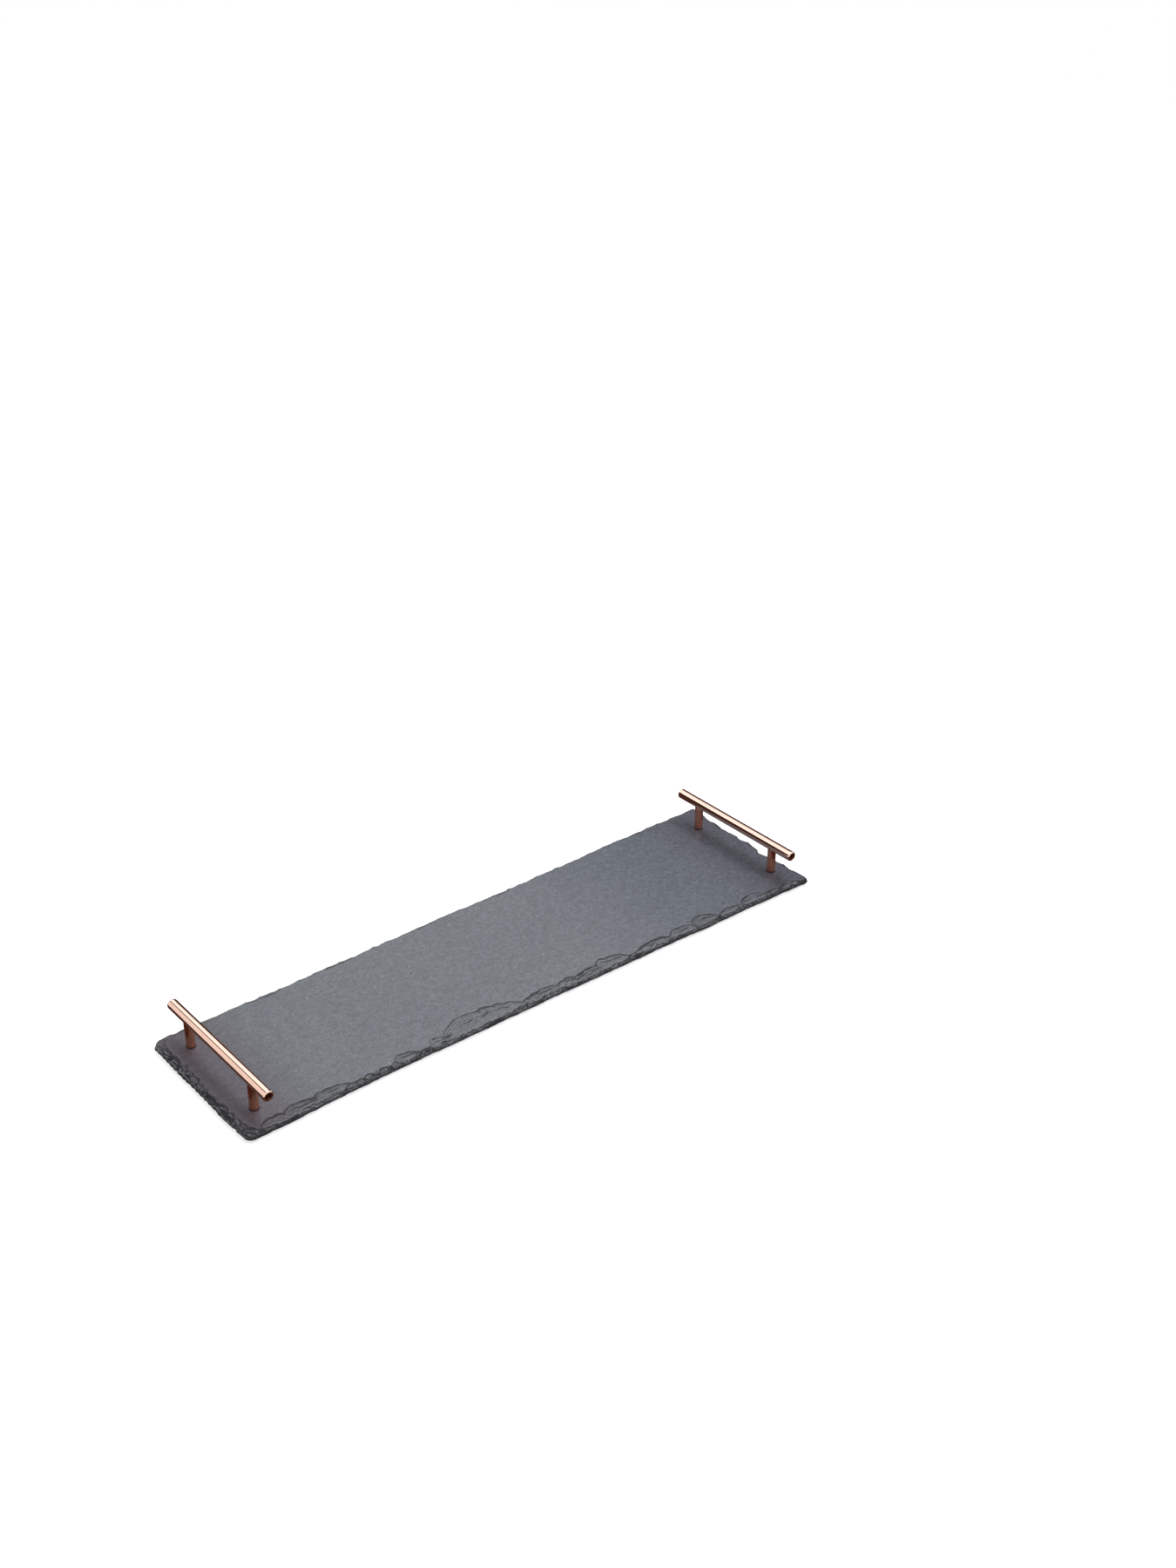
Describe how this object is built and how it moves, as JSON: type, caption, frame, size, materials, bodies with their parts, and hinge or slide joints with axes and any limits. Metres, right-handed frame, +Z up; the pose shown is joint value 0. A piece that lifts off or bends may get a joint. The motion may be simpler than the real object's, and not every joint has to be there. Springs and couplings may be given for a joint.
{
  "type": "serving board",
  "caption": "Long slate serving board with a polished copper bar handle on posts across each short end, resting on low rubber feet.",
  "frame": {"origin": "middle of the footprint, on the plane that the feet stand on", "axes": "+X along the board from the left handle to the right handle, +Y across it towards the back long edge, +Z up"},
  "size_m": [0.57, 0.158, 0.0385],
  "materials": {
    "slate": "matte",
    "bar_copper": "polished",
    "post_copper": "polished",
    "gasket_rubber": "matte",
    "foot_rubber": "matte",
    "fixing_steel": "satin"
  },
  "bodies": {
    "root": {"slate_slab": "slate", "left_bar": "bar_copper", "left_post_front": "post_copper", "left_post_back": "post_copper", "left_gasket_front": "gasket_rubber", "left_gasket_back": "gasket_rubber", "left_stud_front": "fixing_steel", "left_stud_back": "fixing_steel", "left_screw_front": "fixing_steel", "left_screw_back": "fixing_steel", "left_washer_front": "fixing_steel", "left_washer_back": "fixing_steel", "right_bar": "bar_copper", "right_post_front": "post_copper", "right_post_back": "post_copper", "right_gasket_front": "gasket_rubber", "right_gasket_back": "gasket_rubber", "right_stud_front": "fixing_steel", "right_stud_back": "fixing_steel", "right_screw_front": "fixing_steel", "right_screw_back": "fixing_steel", "right_washer_front": "fixing_steel", "right_washer_back": "fixing_steel", "foot_front_left": "foot_rubber", "foot_front_right": "foot_rubber", "foot_back_left": "foot_rubber", "foot_back_right": "foot_rubber"}
  },
  "joints": []
}
